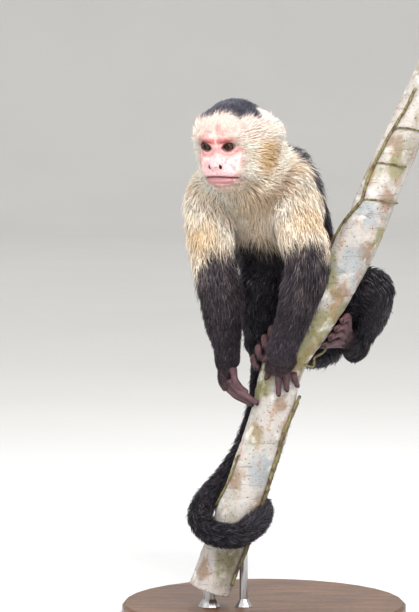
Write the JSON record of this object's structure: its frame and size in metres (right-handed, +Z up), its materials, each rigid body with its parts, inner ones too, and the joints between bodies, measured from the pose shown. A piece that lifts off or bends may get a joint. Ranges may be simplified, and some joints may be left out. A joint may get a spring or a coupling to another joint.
{
  "type": "capuchin monkey",
  "caption": "Life-size still model of a white-faced capuchin monkey gripping a cut length of branch, which two short rods hold above a flat round base.",
  "frame": {"origin": "centre of the stand base's underside", "axes": "+Z up; the animal looks towards -Y, and turned about 30 degrees towards -X; the branch leans towards +X as it rises"},
  "size_m": [0.3461, 0.3, 0.5824],
  "materials": {
    "coat_white": "soft pale fur",
    "coat_cream": "long cream fur",
    "coat_brown": "grizzled dark fur",
    "coat_black": "black fur",
    "bare_skin": "dark wrinkled skin",
    "face_skin": "pink wrinkled skin",
    "eye": "wet gloss",
    "nail": "dull horn",
    "bark": "rough pale bark",
    "vine": "thin green-brown stem",
    "stand_base": "satin varnish",
    "stand_rod": "satin"
  },
  "bodies": {
    "root": {"stand_base": "stand_base", "perch": "bark", "stand_rod_main": "stand_rod", "stand_rod_side": "stand_rod", "eye_left": "eye", "eye_right": "eye", "chest": "coat_cream", "neck": "coat_white", "head": "coat_white", "ear_left": "coat_white", "ear_right": "coat_white", "abdomen": "coat_black", "pelvis": "coat_black", "upper_arm_right": "coat_cream", "forearm_right": "coat_brown", "upper_arm_left": "coat_cream", "forearm_left": "coat_brown", "thigh_right": "coat_black", "shin_right": "coat_black", "thigh_left": "coat_black", "shin_left": "coat_black", "hand_right": "bare_skin", "hand_left": "bare_skin", "foot_right": "bare_skin", "foot_left": "bare_skin", "thumb_right": "bare_skin", "index_right": "bare_skin", "middle_right": "bare_skin", "ring_right": "bare_skin", "little_right": "bare_skin", "thumb_left": "bare_skin", "index_left": "bare_skin", "middle_left": "bare_skin", "ring_left": "bare_skin", "little_left": "bare_skin", "toe_hallux_right": "bare_skin", "toe_second_right": "bare_skin", "toe_third_right": "bare_skin", "toe_fourth_right": "bare_skin", "toe_fifth_right": "bare_skin", "toe_hallux_left": "bare_skin", "toe_second_left": "bare_skin", "toe_third_left": "bare_skin", "toe_fourth_left": "bare_skin", "toe_fifth_left": "bare_skin", "tail_1": "coat_black", "tail_2": "coat_black", "tail_3": "coat_black", "tail_4": "coat_black", "tail_5": "coat_black", "tail_6": "coat_black"}
  },
  "joints": []
}
